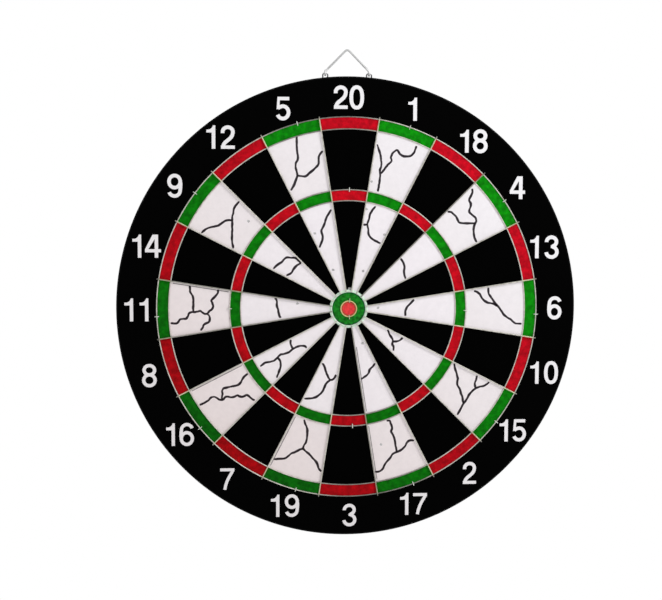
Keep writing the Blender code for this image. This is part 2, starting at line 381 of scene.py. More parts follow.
def from_middle(tree):
    """How far a point is from the piece's origin, in metres."""
    return wired(tree, "VectorMath", "Value", {0: own_place(tree)}, operation="LENGTH")


def spread_between(tree, source, start, end, shape="SMOOTHSTEP"):
    """0 up to the start, 1 from the end on, and a smooth or straight way between them."""
    inputs = {"Value": source, "From Min": start, "From Max": end}
    return wired(tree, "MapRange", "Result", inputs, interpolation_type=shape)


def shade_from(tree, source, spread):
    """A shade that follows a noise, from below 1 to above it by the spread."""
    start, end = NOISE_RANGE
    return ramp(tree, source, ((start, (1 - spread,) * 3), (end, (1 + spread,) * 3)))


def printed(name, bright, shaded_colour, spread, specular, rough=(0.55, 0.75), cloud_scale=CLOUD_SCALE):
    """Ink on a fine matte sheet, with painted light towards the upper right and painted shade towards the
    lower left, cloudy, and finely grained.
    """
    material, tree, shader = new_material(name)
    # painted light and shade: lighter towards the upper right, darker towards the lower left
    light_fade = spread_between(tree, along_way(tree, PAINTED_LIGHT_WAY), -DOUBLE_OUTER, DOUBLE_OUTER, "LINEAR")
    base = ramp(tree, light_fade, ((0.0, shaded_colour), (1.0, bright)))
    clouds = noise_node(tree, cloud_scale, 4)
    grain = noise_node(tree, GRAIN_SCALE, 2)
    cloudy = mixed(tree, "MULTIPLY", 1.0, base, shade_from(tree, clouds, spread))
    grainy = mixed(tree, "MULTIPLY", 1.0, cloudy, shade_from(tree, grain, spread / 2))
    tree.links.new(grainy, shader.inputs["Base Color"])
    roughness_from(tree, shader, clouds, *rough)
    add_bump(tree, shader, ((grain, 1.0), (clouds, 1.5)), PRINT_BUMP)
    shader.inputs["Specular IOR Level"].default_value = specular
    return material


def tarnish(tree, radius, least):
    """A painted shade that falls to the least where a ring of this radius meets the line of painted shade."""
    reach = wired(tree, "Math", "Value", {0: along_way(tree, RING_SHADE_WAY)}, operation="ABSOLUTE")
    start, end = (radius * share for share in RING_SHADE_SHARES)
    painted_shading = spread_between(tree, reach, start, end)
    return ramp(tree, painted_shading, ((0.0, PLAIN), (1.0, (least,) * 3)))


def spoke_tint(tree):
    """Plain over the single beds, creamier over the treble and double beds, and dull past them."""
    reach = spread_between(tree, from_middle(tree), 0, BOARD_RADIUS, "LINEAR")
    stops = [(0.0, PLAIN)]
    beds = ((TREBLE_INNER, TREBLE_OUTER, PLAIN), (DOUBLE_INNER, DOUBLE_OUTER, END_DULL))
    for inner, outer, past in beds:
        tints = (
            (inner - TINT_EDGE, PLAIN), (inner + TINT_EDGE, CREAM),
            (outer - TINT_EDGE, CREAM), (outer + TINT_EDGE, past),
        )
        stops += [(math.hypot(radius, SPOKE_Y) / BOARD_RADIUS, tint) for radius, tint in tints]
    return ramp(tree, reach, stops)


def metal(name, colour, dark, rough, metallic, dull=None, upper=None, spoke=False):
    """Drawn wire: fine scratches and faint stains.

    Dull is a ring's radius and its least shade, for a painted shade where the ring's wire runs across
    the light; upper is a colour for the wire's upper part, after the two heights that it comes in
    between: a painted highlight on the eyes' crowns, and a darker top on the hanger above its pale,
    painted highlight round the hooks; a spoke has its own tint along its length.
    """
    material, tree, shader = new_material(name)
    stains = noise_node(tree, STAIN_SCALE, 4)
    scratches = noise_node(tree, SCRATCH_SCALE, 2)
    base = ramp(tree, stains, ((0.35, dark), (0.62, colour)))
    # painted shade on a ring wire, darker where it runs across the light
    if dull:
        base = mixed(tree, "MULTIPLY", 1.0, base, tarnish(tree, *dull))
    if spoke:
        base = mixed(tree, "MULTIPLY", 1.0, base, spoke_tint(tree))
    if upper:
        start, end, shade = upper
        height = spread_between(tree, along_way(tree, (0, 0, 1)), start, end)
        base = mixed(tree, "MIX", height, base, (*shade, 1))
    tree.links.new(base, shader.inputs["Base Color"])
    roughness_from(tree, shader, stains, *rough)
    add_bump(tree, shader, ((scratches, 1.0), (stains, 0.6)), WIRE_BUMP)
    shader.inputs["Metallic"].default_value = metallic
    return material


def board_material(name, light, dark, scale, rough, bump_height):
    """Pressed fibre or card: mottled, with short fibres in the bump."""
    material, tree, shader = new_material(name)
    mottle = noise_node(tree, scale, 6, 0.7)
    fibres = noise_node(tree, scale * FIBRE_FINENESS, 3, 0.6, FIBRE_STRETCH)
    base = ramp(tree, mottle, ((0.32, dark), (0.68, light)))
    streaks = ramp(tree, fibres, ((0.35, (0.72, 0.72, 0.72)), (0.65, (1, 1, 1))))
    tree.links.new(mixed(tree, "MULTIPLY", 0.8, base, streaks), shader.inputs["Base Color"])
    roughness_from(tree, shader, fibres, *rough)
    add_bump(tree, shader, ((fibres, 1.0), (mottle, 0.8)), bump_height)
    shader.inputs["Specular IOR Level"].default_value = 0.25
    return material


# Each ink as its colours at the upper right and at the lower left, which differ by painted light and
# shade, and each metal as its colour and the darker one of its stains
BLACK = ((0.0005, 0.0005, 0.0005), (0.0004, 0.0004, 0.0004))
BED_BLACK = ((0.0004, 0.0004, 0.0004), (0.0003, 0.0003, 0.0003))
WHITE = ((0.87, 0.84, 0.87), (0.79, 0.70, 0.695))
INNER_WHITE = ((0.90, 0.86, 0.90), (0.83, 0.77, 0.785))
RED = ((0.52, 0.0028, 0.0125), (0.33, 0.0020, 0.004))
TREBLE_RED = ((0.565, 0.0030, 0.0127), (0.36, 0.0022, 0.0045))
GREEN = ((0.0032, 0.25, 0.0028), (0.0022, 0.098, 0.0025))
BULL_RED = ((0.70, 0.045, 0.048),) * 2
BULL_RIM = ((0.40, 0.085, 0.035),) * 2
BULL_GREEN = ((0.008, 0.165, 0.012),) * 2
# painted shade: the darker green inside the outer bull wire
BULL_SHADOW_GREEN = ((0.006, 0.085, 0.022),) * 2
MINT = ((0.76, 0.95, 0.79),) * 2
NUMERAL = ((0.86, 0.85, 0.87), (0.78, 0.75, 0.76))
CRACK = ((0.034, 0.028, 0.034), (0.028, 0.020, 0.023))
# painted shadow beside some spoke wires
PAINTED_SHADOW_GREY = ((0.31, 0.29, 0.29), (0.27, 0.25, 0.25))
SMUDGE_GREY = ((0.46, 0.45, 0.45),) * 2
TAPE = ((0.0010, 0.0010, 0.0011), (0.0009, 0.0009, 0.0010))
WIRE = ((0.66, 0.635, 0.575), (0.45, 0.43, 0.37))
# painted shade: a darker copy of the wire colour for some spokes
SHADED_WIRE = ((0.36, 0.345, 0.31), (0.26, 0.25, 0.21))
WIRE_ROUGH = (0.25, 0.45)
WIRE_METALLIC = 0.25
PLAIN = (1.0, 1.0, 1.0)  # a spoke's tints
CREAM = (1.0, 1.0, 0.74)
END_DULL = (0.45, 0.45, 0.45)
TINT_EDGE = 0.6 * MM  # half the width over which one tint turns into the next
MATERIALS = {
    "black": printed("print_black", *BLACK, 0.3, 0.012),
    "bed_black": printed("print_bed_black", *BED_BLACK, 0.3, 0.01),
    "white": printed("print_white", *WHITE, 0.025, 0.15),
    "inner_white": printed("print_inner_white", *INNER_WHITE, 0.025, 0.15),
    "red": printed("print_red", *RED, 0.32, 0.04),
    "treble_red": printed("print_treble_red", *TREBLE_RED, 0.32, 0.04),
    "green": printed("print_green", *GREEN, 0.36, 0.04),
    "bull_red": printed("print_bullseye_red", *BULL_RED, 0.22, 0.1, cloud_scale=BULL_CLOUD_SCALE),
    "bull_rim": printed("print_bullseye_rim", *BULL_RIM, 0.35, 0.1, cloud_scale=BULL_CLOUD_SCALE),
    "bull_green": printed("print_bull_green", *BULL_GREEN, 0.6, 0.05, cloud_scale=BULL_CLOUD_SCALE),
    "bull_painted_shade": printed("print_bull_painted_shade", *BULL_SHADOW_GREEN, 0.8, 0.05, cloud_scale=BULL_CLOUD_SCALE),
    "mint": printed("print_mint", *MINT, 0.10, 0.15),
    "numeral": printed("print_numeral_white", *NUMERAL, 0.02, 0.15),
    "crack": printed("crack_grey", *CRACK, 0.25, 0.04),
    "border": printed("painted_shadow_grey", *PAINTED_SHADOW_GREY, 0.35, 0.05),
    "smudge": printed("smudge_grey", *SMUDGE_GREY, 0.3, 0.05),
    "tape": printed("edge_tape_black", *TAPE, 0.3, 0.10, rough=(0.38, 0.55)),
    "spoke": metal("spoke_wire", *WIRE, WIRE_ROUGH, WIRE_METALLIC, spoke=True),
    "shaded_spoke": metal("shaded_spoke_wire", *SHADED_WIRE, WIRE_ROUGH, WIRE_METALLIC, spoke=True),
    "bull_outer": metal("mint_wire", (0.74, 0.88, 0.76), (0.60, 0.72, 0.60), (0.3, 0.5), 0.2),
    "bull_inner": metal("tan_wire", (0.74, 0.60, 0.30), (0.60, 0.46, 0.20), (0.3, 0.5), 0.2),
    "staple": metal("staple_steel", (0.78, 0.82, 0.76), (0.56, 0.58, 0.50), WIRE_ROUGH, 0.35),
    "bull_staple": metal("bull_staple_steel", (0.58, 0.62, 0.44), (0.42, 0.47, 0.31), (0.3, 0.5), 0.3),
    # painted highlight: the hanger is pale round its hooks and greyer above them
    "hanger": metal(
        "hanger_steel", (0.95, 0.95, 0.95), (0.88, 0.88, 0.88), (0.45, 0.6), 0.2,
        upper=(*BAIL_HEIGHTS, (0.55, 0.55, 0.55)),
    ),
    # painted highlight: dark eyes with pale crowns
    "eye": metal(
        "eye_steel", (0.20, 0.20, 0.21), (0.06, 0.06, 0.07), (0.3, 0.5), 0.35,
        upper=(*CROWN_HEIGHTS, (0.95, 0.95, 0.95)),
    ),
    "steel_sheet": metal("steel_sheet_bare", (0.55, 0.56, 0.57), (0.35, 0.36, 0.37), (0.3, 0.5), 1.0),
    "fibreboard": board_material(
        "fibreboard", (0.42, 0.28, 0.15), (0.26, 0.16, 0.08), 180, (0.75, 0.95), 0.2 * MM
    ),
    "back": board_material(
        "back_hardboard", (0.15, 0.085, 0.042), (0.085, 0.046, 0.024), 140, (0.6, 0.85), 0.18 * MM
    ),
}
# Each scoring ring's radius, and the painted shade of its wire where it is darkest
RING_PAINTED_SHADE = {
    "double_outer": (DOUBLE_OUTER, 0.38),
    "double_inner": (DOUBLE_INNER, 0.42),
    "treble_outer": (TREBLE_OUTER, 0.55),
    "treble_inner": (TREBLE_INNER, 0.50),
}
for ring, painted_shading in RING_PAINTED_SHADE.items():
    MATERIALS[ring] = metal(f"{ring}_wire", *WIRE, WIRE_ROUGH, WIRE_METALLIC, dull=painted_shading)


# ---------------- the printed face

def build_face():
    """The black sheet, and the beds on it: one piece for each ring of beds and each ink."""
    sheet = chamfered_disc(FACE_RADIUS, FACE_BACK, FACE_FRONT, FACE_CHAMFER, DISC_SEGMENTS)
    make_piece("face_sheet_print", sheet, "black", nodes=("face_sheet",))
    black, white, red, green = (f"face_{ink}" for ink in ("black", "white", "red", "green"))
    zones = (
        ("double_beds", DOUBLE_INNER, DOUBLE_OUTER, (("red", red), ("green", green))),
        ("outer_single_beds", TREBLE_OUTER, DOUBLE_INNER, (("bed_black", black), ("white", white))),
        ("treble_beds", TREBLE_INNER, TREBLE_OUTER, (("treble_red", red), ("green", green))),
        ("inner_single_beds", BULL_OUTER, TREBLE_INNER, (("bed_black", black), ("inner_white", white))),
    )
    pitch = 2 * math.pi / SECTORS
    for zone, inner, outer, inks in zones:
        for parity, (ink, slot) in enumerate(inks):
            bm = bmesh.new()
            for sector in range(parity, SECTORS, 2):
                start = (sector - 0.5) * pitch
                add_sector(bm, inner, outer, start, start + pitch, FACE_FRONT, PRINT_FRONT, BED_STEPS)
            name = zone + slot.removeprefix("face")
            make_piece(name, bm, ink, nodes=("face_sheet",))


def build_bull():
    """The bull: a green ring with a painted shade along its edge and a pale border, and a red disc with a
    rim.
    """
    bull = chamfered_disc(BULLSEYE_RADIUS, FACE_FRONT, PRINT_FRONT, BULLSEYE_CHAMFER, BULLSEYE_SEGMENTS)
    make_piece("bullseye_bed", bull, "bull_red", nodes=("face_sheet",))
    edge = BULL_OUTER - BULL_BORDER[0]
    pale_front = FACE_FRONT - PALE_THICKNESS
    rings = (
        ("bullseye_rim", BULLSEYE_RADIUS, BULL_INNER, PRINT_FRONT, "bull_rim", "face_red"),
        ("outer_bull_bed", BULL_INNER, edge - BULL_SHADE, PRINT_FRONT, "bull_green", "face_green"),
        ("outer_bull_shade", edge - BULL_SHADE, edge, PRINT_FRONT, "bull_painted_shade", "face_green"),
        ("outer_bull_border", edge, BULL_OUTER + BULL_BORDER[1], pale_front, "mint", "face_white"),
    )
    for name, inner, outer, front, ink, slot in rings:
        outline = ((inner, FACE_FRONT), (outer, FACE_FRONT), (outer, front), (inner, front))
        make_piece(name, turned(outline, BULL_RING_SEGMENTS), ink, nodes=("face_sheet",))


def build_border_lines():
    """Painted shadows of some spoke wires: thin grey lines just inside some white beds."""
    bm = bmesh.new()
    front = FACE_FRONT - BORDER_THICKNESS
    for spoke, inner, outer in PAINTED_WIRE_SHADOWS:
        angle = 2 * math.pi * (spoke - 0.5) / SECTORS
        side = 1 if spoke % 2 else -1
        across = Vector((math.cos(angle), 0, -math.sin(angle))) * side
        rows = []
        for radius in (inner, outer):
            point = on_face(radius, angle, 0)
            near, far = point + across * BORDER_START, point + across * (BORDER_START + BORDER_WIDTH)
            rows.append([
                bm.verts.new((corner.x, y, corner.z))
                for corner, y in ((near, FACE_FRONT), (far, FACE_FRONT), (far, front), (near, front))
            ])
        skin(bm, rows)
    make_piece("bed_painted_wire_shadows", bm, "border")


# ---------------- the numbers

ARC_STEP = 9  # in degrees, between the points of a digit's arcs
PEN_STEPS = 4  # along each span of a digit's free curves
MERGE_DISTANCE = 1e-4  # in millimetres, for points of a digit's outlines


def arc(x, z, across, up, start, end, power=1.0):
    """Points along part of an ellipse, in degrees from +X; a power under 1 squares it."""
    steps = max(3, round(abs(end - start) / ARC_STEP))
    points = []
    for step in range(steps + 1):
        turn = math.radians(start + (end - start) * step / steps)
        cos, sin = math.cos(turn), math.sin(turn)
        points.append((
            x + across * math.copysign(abs(cos) ** power, cos),
            z + up * math.copysign(abs(sin) ** power, sin),
        ))
    return points


def smooth_line(points, steps):
    """A Catmull-Rom curve through the points."""
    line = []
    last = len(points) - 1
    for i in range(last):
        before, start, end, after = (points[min(max(i + k, 0), last)] for k in (-1, 0, 1, 2))
        for step in range(steps):
            t = step / steps
            line.append(tuple(
                b + (c - a) * t / 2
                + (a - 2.5 * b + 2 * c - 0.5 * d) * t ** 2
                + (1.5 * (b - c) + (d - a) / 2) * t ** 3
                for a, b, c, d in zip(before, start, end, after)
            ))
    line.append(points[last])
    return line


def stroke(line, width):
    """A stroke of even width, as counter-clockwise quads between neighbouring points."""
    closed = math.dist(line[0], line[-1]) < 1e-6
    if closed:
        line = line[:-1]
    count = len(line)
    rails = []
    for i, (x, z) in enumerate(line):
        before = line[(i - 1) % count] if closed or i else line[i]
        after = line[(i + 1) % count] if closed or i < count - 1 else line[i]
        along = Vector((after[0] - before[0], after[1] - before[1])).normalized()
        across = Vector((-along.y, along.x)) * width / 2
        rails.append((Vector((x, z)) + across, Vector((x, z)) - across))
    last = count if closed else count - 1
    return [
        (rails[i][1], rails[(i + 1) % count][1], rails[(i + 1) % count][0], rails[i][0])
        for i in range(last)
    ]


def digit_outlines(digit, pen):
    """Counter-clockwise outlines in millimetres that together fill a digit.

    They are about the digit's middle, or about the upright's centre line in a 1.
    """
    cap = DIGIT_HEIGHT / 2
    bar = pen * 0.92
    if digit == 0:
        return stroke(arc(0, 0, 4.85, 8.95, 0, 360, 0.86), pen)
    if digit == 1:
        bracket = arc(-4.3, cap, 3.75, 3.7, 0, -90, 1.2)
        flag = [(-6.15, cap - 3.7), (-6.15, cap - 6.2), (-pen / 2, cap - 6.2), (-pen / 2, -cap)]
        return [[(pen / 2, -cap), (pen / 2, cap)] + bracket + flag]
    if digit == 2:
        bowl = [(-4.55, 3.5)] + arc(-0.05, 4.6, 4.5, 4.1, 180, -15)
        tail = [(3.85, 1.7), (2.5, -0.4), (0.3, -2.4), (-1.9, -4.2), (-3.4, -6.0), (-4.25, -8.3)]
        curve = bowl[:-2] + smooth_line(bowl[-2:] + tail, PEN_STEPS)
        foot = 0.5 * bar - cap
        return stroke(curve, pen) + stroke([(-6.05, foot), (6.05, foot)], bar)
    if digit == 3:
        upper = stroke(arc(-0.05, 4.75, 4.5, 4.1, 184, -80), pen)
        lower = stroke(arc(0.1, -4.4, 4.9, 4.65, 82, -176), pen)
        return upper + lower + stroke([(-0.6, 0.3), (3.0, 0.3)], bar * 0.85)
    if digit == 4:
        slant = [(-6.9, -2.6), (-3.9, -2.6), (3.85, cap), (-0.3, cap)]
        return [slant] + stroke([(3.0, -cap), (3.0, cap)], pen) + stroke([(-6.95, -4.0), (6.95, -4.0)], bar)
    if digit == 5:
        upright = [(-5.6, -0.75), (-3.2, -0.2), (-2.6, cap), (-4.8, cap)]
        bowl = [(-4.5, 0.2), (-3.2, 1.05)] + arc(-0.1, -3.4, 4.95, 5.42, 118, -157)
        top = [(-4.75, cap - bar / 2), (5.5, cap - bar / 2)]
        return [upright] + stroke(bowl, pen) + stroke(top, bar)
    if digit == 6:
        bowl = arc(0, -3.65, 4.9, 5.3, 0, 360)
        hook = arc(0.15, 4.1, 4.85, 4.85, 19, 180) + [(-5.05, 1.5), (-5.15, -1.5), (-4.9, -3.65)]
        return stroke(bowl, pen) + stroke(hook, pen)
    if digit == 7:
        curve = [(5.0, 7.6), (3.5, 5.0), (2.1, 2.6), (0.3, -0.9), (-1.0, -4.3), (-1.8, -7.3), (-2.3, -9.75)]
        return stroke([(-6.35, 8.35), (6.35, 8.35)], bar) + stroke(smooth_line(curve, PEN_STEPS), bar)
    if digit == 8:
        upper = arc(0, 4.9, 4.6, 4.15, 0, 360)
        # Half a step round, so that no edges of the two bowls lie on each other
        lower = arc(0, -4.1, 5.0, 4.85, 4.5, 364.5)
        return stroke(upper, pen) + stroke(lower, pen)
    return [[(-x, -z) for x, z in outline] for outline in digit_outlines(6, pen)]


def add_digit(bm, digit, pen, centre_x, centre_z):
    """Merge a digit's outlines into one flat shape and give it the thickness of its ink."""
    points, faces = [], []
    for outline in digit_outlines(digit, pen):
        faces.append(list(range(len(points), len(points) + len(outline))))
        points += [Vector(corner) for corner in outline]
    merged, _, triangles, _, _, sources = delaunay_2d_cdt(points, [], faces, 1, MERGE_DISTANCE)
    kept = [triangle for triangle, source in zip(triangles, sources) if source]
    used = sorted({corner for triangle in kept for corner in triangle})
    corners = {}
    for i in used:
        x, z = centre_x + merged[i].x * MM, centre_z + merged[i].y * MM
        corners[i] = bm.verts.new((x, FACE_FRONT, z))
    made = [bm.faces.new([corners[i] for i in triangle]) for triangle in kept]
    lifted = bmesh.ops.extrude_face_region(bm, geom=made)
    moved = [item for item in lifted["geom"] if isinstance(item, bmesh.types.BMVert)]
    bmesh.ops.translate(bm, verts=moved, vec=(0, -NUMERAL_THICKNESS, 0))


def build_numbers():
    """Upright numbers, each a little off the middle of its sector, as they were printed."""
    lean = Vector(PAINTED_LIGHT_WAY)
    for sector, (number, rise, places) in enumerate(NUMERALS):
        bm = bmesh.new()
        middle = on_face(NUMERAL_RADIUS, 2 * math.pi * sector / SECTORS, 0)
        pen = DIGIT_STROKE * (1 + PEN_SPREAD * middle.dot(lean) / NUMERAL_RADIUS)
        for digit, across in zip(str(number), places):
            add_digit(bm, int(digit), pen, middle.x + across * MM, middle.z + rise * MM)
        make_piece(f"numeral_{number:02d}", bm, "numeral")


# ---------------- cracks in the white beds

# Each crack is a wandering line of (x, z) points in millimetres from the centre of the board.
CRACKS = (
    ((-46.4, 152.6), (-46.4, 146), (-46.3, 140), (-45.6, 136), (-45.6, 132), (-47.3, 129), (-47.4, 125),
     (-46.4, 121.3), (-46, 117.7), (-47.7, 113), (-49.2, 109.3), (-51.6, 105)),
    ((-46, 118), (-42, 117.6), (-38.3, 117.8), (-34.5, 121), (-31.2, 123.8), (-28.3, 126.8), (-27, 129.4),
     (-27.2, 132.2), (-26.8, 135.5), (-25.3, 138), (-23.4, 139.8)),
    ((-15.8, 88.4), (-18.7, 83.8), (-20.8, 79.3), (-21.9, 75.4), (-23.9, 71.3), (-24.5, 68.8), (-23.5, 65),
     (-23.7, 61.2), (-25.1, 58), (-26.2, 54.6)),
    ((-97, 95.2), (-100.4, 91.5), (-101.9, 88.5), (-102.4, 85), (-103.4, 81), (-103.4, 75), (-103.4, 69),
     (-103.7, 64), (-103.4, 59), (-102.4, 53.8)),
    ((-103.4, 78.6), (-107.8, 78.6), (-110, 77.8), (-113.4, 75.4), (-116.4, 73.7), (-122, 72.4), (-126, 71),
     (-130.5, 67.4)),
    ((-67.3, 35.8), (-63.7, 39.3), (-59.8, 41.7), (-57.7, 44.2), (-55.2, 45.8), (-51.7, 45.6), (-47.3, 45.3),
     (-45.2, 43.3), (-43.2, 40.9), (-46.2, 38.8), (-48.8, 36.2), (-50.7, 32.9), (-53.2, 30.8), (-55.7, 29.8)),
    ((-140.8, 21), (-140.8, 16.7), (-139.9, 14), (-138.3, 11.3), (-137.9, 8), (-137.9, 4), (-138.1, 0.7),
     (-137.7, -2.3)),
    ((-158, -12.3), (-155.3, -12.7), (-152.7, -12.5), (-151, -11), (-149.6, -9), (-146.7, -8.6),
     (-144.3, -8.3), (-142.7, -6), (-141.7, -3.7), (-139.3, -2.6), (-136.7, -2.5), (-134, -2.2),
     (-132, -1.5), (-130, -3), (-128, -4.3), (-125.3, -4)),
    ((-116.1, 17.4), (-116.3, 14.7), (-117.7, 12.3), (-120, 10), (-122, 7.7), (-121.3, 5.3), (-120.4, 2.7),
     (-121.3, 0.3), (-123.7, -1.7), (-125.3, -4), (-123.9, -6), (-123.5, -8.7), (-124.3, -11.3),
     (-126.7, -12.7), (-129, -14.1), (-129.7, -16.3), (-131.7, -19)),
    ((-65.8, 9.9), (-64, 6.7), (-64.3, 3.4), (-63.3, 0.6), (-62.7, -3.3), (-61.7, -6.6), (-60.7, -8)),
    ((-133, -85.7), (-129.3, -84), (-125.3, -81.7), (-123, -79.3), (-120.3, -78.3), (-118, -79.3),
     (-115.4, -81), (-113.3, -81.3), (-111.7, -80.7), (-110.3, -78.7), (-107.3, -78.5), (-104.7, -79),
     (-102, -78.5), (-99.3, -77.4), (-97.3, -78.3), (-94.7, -78.6), (-92, -77.3), (-90.3, -77.3),
     (-88.3, -79), (-86, -81), (-83.9, -81.7)),
    ((-113.3, -81.3), (-113, -78.7), (-112.7, -75.3), (-113, -73), (-111.7, -71), (-109.3, -70.3),
     (-104.7, -69.3), (-100.7, -68.5), (-98, -67.3), (-96, -65), (-94.7, -62.3), (-92.7, -60), (-90, -57.9)),
    ((-79, -51.4), (-76.3, -49.3), (-74, -48), (-70, -47.3), (-66.7, -46.3), (-64, -44), (-61.3, -41.1),
     (-58, -40.3), (-54, -39), (-52, -37.7), (-49.7, -35.7), (-46, -34), (-42.7, -33.1), (-39.4, -33.4),
     (-37.5, -35)),
    ((-51.7, -27.6), (-52, -30.7), (-51, -33.6), (-49.7, -35.3)),
    ((-64, -43.4), (-61.8, -45.7), (-60.7, -48.7), (-61, -52), (-62, -55.3), (-63.3, -58.7), (-64.4, -61.8)),
    ((-23.6, -48.9), (-21.6, -52), (-20.3, -56.2), (-18.7, -60.3), (-16.6, -64.1)),
    ((-11.2, -59.3), (-12.8, -62.4), (-14.5, -63.8), (-16.6, -64.3), (-19.5, -66.6), (-21.2, -69.5),
     (-22.9, -73.6), (-25.3, -76.6), (-28.7, -79.1), (-32.8, -80.5), (-39.6, -80.8)),
    ((-39.8, -99.8), (-38.7, -103.7), (-37.2, -107.8), (-37, -112.8), (-37.4, -117), (-38.3, -120.8),
     (-39.9, -122.9), (-41, -125.8), (-43.7, -127), (-47.8, -129.1), (-51.2, -130.3), (-54.1, -132.8),
     (-57, -134.7), (-62, -135.2), (-67, -135.5)),
    ((-41, -125.6), (-38.7, -128.3), (-35.3, -131.2), (-32.4, -134.5), (-29.6, -137.7), (-27.8, -140.3),
     (-27, -143.3), (-25.8, -145.8), (-24.2, -147.2)),
    ((24.6, 146.1), (26.3, 141.7), (27.7, 137.5), (28.3, 133.3), (28.7, 127.6), (27.4, 123.3), (27.6, 119),
     (27.1, 113.3), (26.3, 108.3), (25.7, 104.5)),
    ((28.3, 120.4), (30.4, 122.9), (32.5, 125.8), (35, 128.8), (37.8, 131.7), (37.3, 134.6), (38.3, 137.9),
     (40.4, 140), (42.6, 141.2), (44.2, 139.6), (45.5, 137.5), (48.3, 136), (51.7, 135.7), (55, 136.4),
     (57.5, 138.8), (59, 142), (60, 145)),
    ((23.9, 91.4), (20.8, 87.9), (18.8, 84.2), (17.9, 80), (16.4, 75.8), (17.1, 71.7), (17.4, 67.5),
     (19.2, 63.9), (22.5, 61.3), (25.8, 59.6), (28.3, 58.4)),
    ((12.9, 75), (16, 75.2)),
    ((110.4, 107.5), (110.8, 104.5), (109.6, 101.2), (107.9, 97), (109.5, 94.4), (109.2, 91.2), (108.2, 87),
     (110.8, 84.1), (113.8, 81.6), (114.6, 78.7), (113.5, 76.2), (112.3, 72), (112.5, 67), (113.5, 62.8),
     (115.4, 59.9)),
    ((88.5, 86.7), (91.3, 86.8), (93.8, 84.9), (96.3, 82.4), (97.9, 79.1), (99.6, 77.1), (104.2, 76.6),
     (113.5, 76.6)),
    ((46.5, 45), (48.8, 41.6), (50, 37.8), (49.6, 32.8), (50.2, 29.5), (51.3, 26.9)),
    ((113.3, 15.7), (115.9, 14.9), (118.4, 13.1), (120.1, 10.2), (122.3, 7.4), (125.9, 5.2), (130.1, 4.5),
     (133, 3.1), (134.8, 2)),
    ((126.4, 18.8), (126.4, 14.9), (127.6, 12), (130.1, 8.4), (133, 4.5), (135.1, 2.3), (137.6, -0.9),
     (140.1, -4.8), (143.7, -8), (147.3, -10.1), (149.5, -12.3), (151.9, -13.7), (157.3, -14.1)),
    ((58.8, 8.2), (56.9, 5.9), (54.4, 3.4), (52.3, 0.9), (51.2, -1.9), (51.1, -6.7)),
    ((35.1, -19), (36.8, -22.8), (38.6, -26), (40, -28.9), (39.5, -31.7), (40.6, -34.6), (40.6, -38)),
    ((40.3, -29.6), (43.2, -29.6), (45.7, -28.9), (47.5, -27.4), (48.8, -26.2)),
    ((95.7, -49.9), (96.8, -54.6), (98.2, -58.9), (99.3, -63.9), (99, -68.9), (101.1, -73.1),
     (102.5, -77.4), (103.9, -81), (104.3, -84.4), (105, -86.2)),
    ((99.3, -96.9), (102.1, -91.7), (105, -86.4), (107.9, -82.4), (110, -78.2), (112.5, -75.6),
     (115.7, -72.8), (119.3, -71.4), (122.9, -70.6), (125.7, -69.2), (128.3, -67)),
    ((116.9, -61), (116.1, -65.3), (115, -68.5), (115.6, -72.3)),
    ((24, -49.2), (21.8, -52.3), (19.3, -54.8), (18.3, -57.8), (16.8, -59.8), (13.9, -61.9), (11.1, -63.6)),
    ((34.7, -101.5), (37.6, -101.7), (38.7, -104.8), (39.8, -108.2), (38.9, -111.5), (41, -115.3),
     (42.3, -119.8), (43.1, -124.8), (44.3, -130)),
    ((24.4, -148.3), (28.1, -148), (31, -146.4), (32.7, -142.8), (34.8, -139.4), (37.7, -136.4),
     (40.3, -132.4), (43.9, -130.3), (48.5, -128.3), (51.8, -124.8), (53.9, -121.2), (56, -119.8),
     (59.9, -120)),
)
SPECKS = (
    (-89.3, 77.8), (-30.3, 67.1), (-14, 34.8), (-45.8, 4.8), (20, 113.2), (15.8, 88.8), (31.8, 66.4),
    (12.8, 33.8), (26.4, 0.8), (12.6, -31.2), (29.8, -123.2),
)
SPECK_SIZE = (1.2, 1.05)  # half the width and height of a speck, in millimetres
SMUDGE = (1.0, 18.0)  # its middle, above the bull
SMUDGE_SIZE = (1.9, 1.3)
BLOT_SIDES = 18
BLOT_UNEVEN = 0.5  # share by which a spot's outline varies
BLOT_REACH = 1.3  # how far round its middle the noise for that is read


def add_crack(bm, points, width):
    """A thin sliver that wanders and varies in width, and is a little narrower at its ends."""
    line = smooth_line([(x * MM, z * MM) for x, z in points], CRACK_STEPS)
    count = len(line)
    rows = []
    for i, (x, z) in enumerate(line):
        before, after = line[max(i - 1, 0)], line[min(i + 1, count - 1)]
        along = Vector((after[0] - before[0], after[1] - before[1])).normalized()
        across = Vector((-along.y, along.x))
        wander = noise.noise(Vector((x, z, 0)) * CRACK_WANDER_SCALE) * CRACK_WANDER
        swell = 1 + CRACK_SWELL * noise.noise(Vector((x, z, 0.4)) * CRACK_SWELL_SCALE)
        taper = min(1.0, CRACK_END + CRACK_TAPER * min(i, count - 1 - i))
        half = across * width / 2 * swell * taper
        centre = Vector((x, z)) + across * wander
        left, right = centre + half, centre - half
        front = FACE_FRONT - CRACK_THICKNESS
        corners = ((left, FACE_FRONT), (right, FACE_FRONT), (right, front), (left, front))
        rows.append([bm.verts.new((side.x, y, side.y)) for side, y in corners])
    skin(bm, rows)


def add_blot(bm, x, z, size):
    """A thin round spot with an uneven outline, about a point given in millimetres."""
    rims = []
    for y in (FACE_FRONT, FACE_FRONT - CRACK_THICKNESS):
        rim = []
        for turn in full_turn(BLOT_SIDES):
            across, up = math.cos(turn), math.sin(turn)
            read = Vector((x + BLOT_REACH * across, z + BLOT_REACH * up, 0.7))
            uneven = 1 + BLOT_UNEVEN * noise.noise(read)
            place = (x + size[0] * uneven * across, z + size[1] * uneven * up)
            rim.append(bm.verts.new((place[0] * MM, y, place[1] * MM)))
        rims.append(rim)
    skin(bm, rims)


